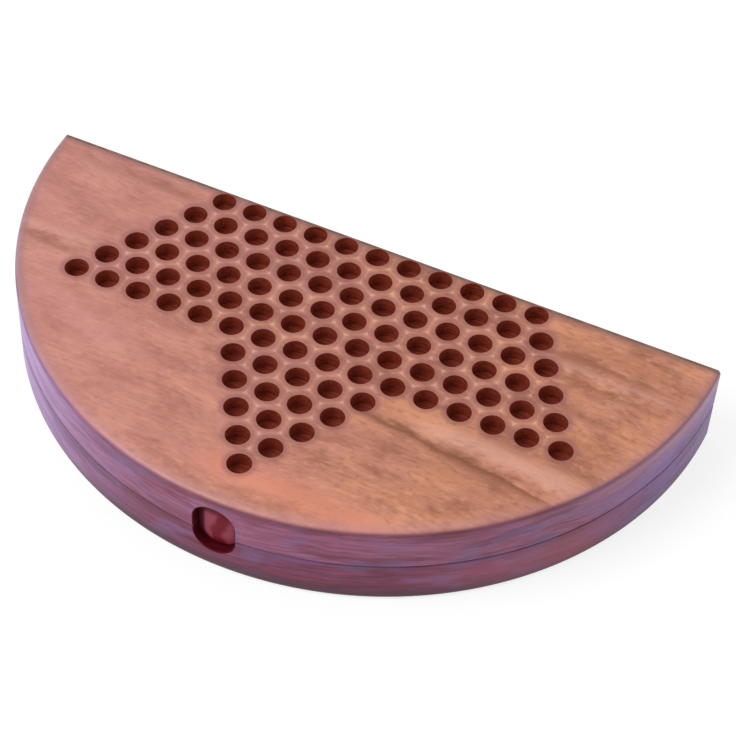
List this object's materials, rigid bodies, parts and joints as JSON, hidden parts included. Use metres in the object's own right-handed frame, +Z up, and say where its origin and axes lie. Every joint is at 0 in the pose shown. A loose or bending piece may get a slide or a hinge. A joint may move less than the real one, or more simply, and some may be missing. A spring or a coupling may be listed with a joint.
{
  "type": "halma board",
  "caption": "Folding half-disc game board of wood with a star of peg holes on its outer faces, a tray for the pegs inside, small brass hinges and a plugged thumb slot in the rim.",
  "frame": {"origin": "middle of the folded board's footprint, on the surface that it lies on", "axes": "+X along the hinge line, to the right as seen from the round side, +Y from the round side to the hinge, +Z up out of the upper playing face"},
  "size_m": [0.274, 0.139, 0.0376],
  "materials": {
    "board_wood": "satin varnish on reddish brown hardwood, grain along the hinge",
    "red_wood": "red stain, varnished",
    "brass": "polished",
    "magnet": "nickel plated",
    "peg_red": "dyed wood",
    "peg_blue": "dyed wood",
    "peg_green": "dyed wood",
    "peg_yellow": "dyed wood",
    "peg_white": "dyed wood",
    "peg_black": "dyed wood"
  },
  "bodies": {
    "lower": {"lower_half": "board_wood", "thumb_plug": "red_wood", "lower_magnets": "magnet", "left_hinge_lower_leaf": "brass", "left_hinge_pin": "brass", "left_hinge_lower_screws": "brass", "right_hinge_lower_leaf": "brass", "right_hinge_pin": "brass", "right_hinge_lower_screws": "brass", "pegs_red": "peg_red", "pegs_blue": "peg_blue", "pegs_green": "peg_green", "pegs_yellow": "peg_yellow", "pegs_white": "peg_white", "pegs_black": "peg_black"},
    "upper": {"upper_half": "board_wood", "upper_magnets": "magnet", "left_hinge_upper_leaf": "brass", "right_hinge_upper_leaf": "brass", "left_hinge_upper_screws": "brass", "right_hinge_upper_screws": "brass"}
  },
  "joints": [
    {"name": "fold", "type": "hinge", "parent": "lower", "child": "upper", "pos_m": [0, 0.0675, 0.0188], "axis": [-1, 0, 0], "range_deg": [0, 180]}
  ]
}
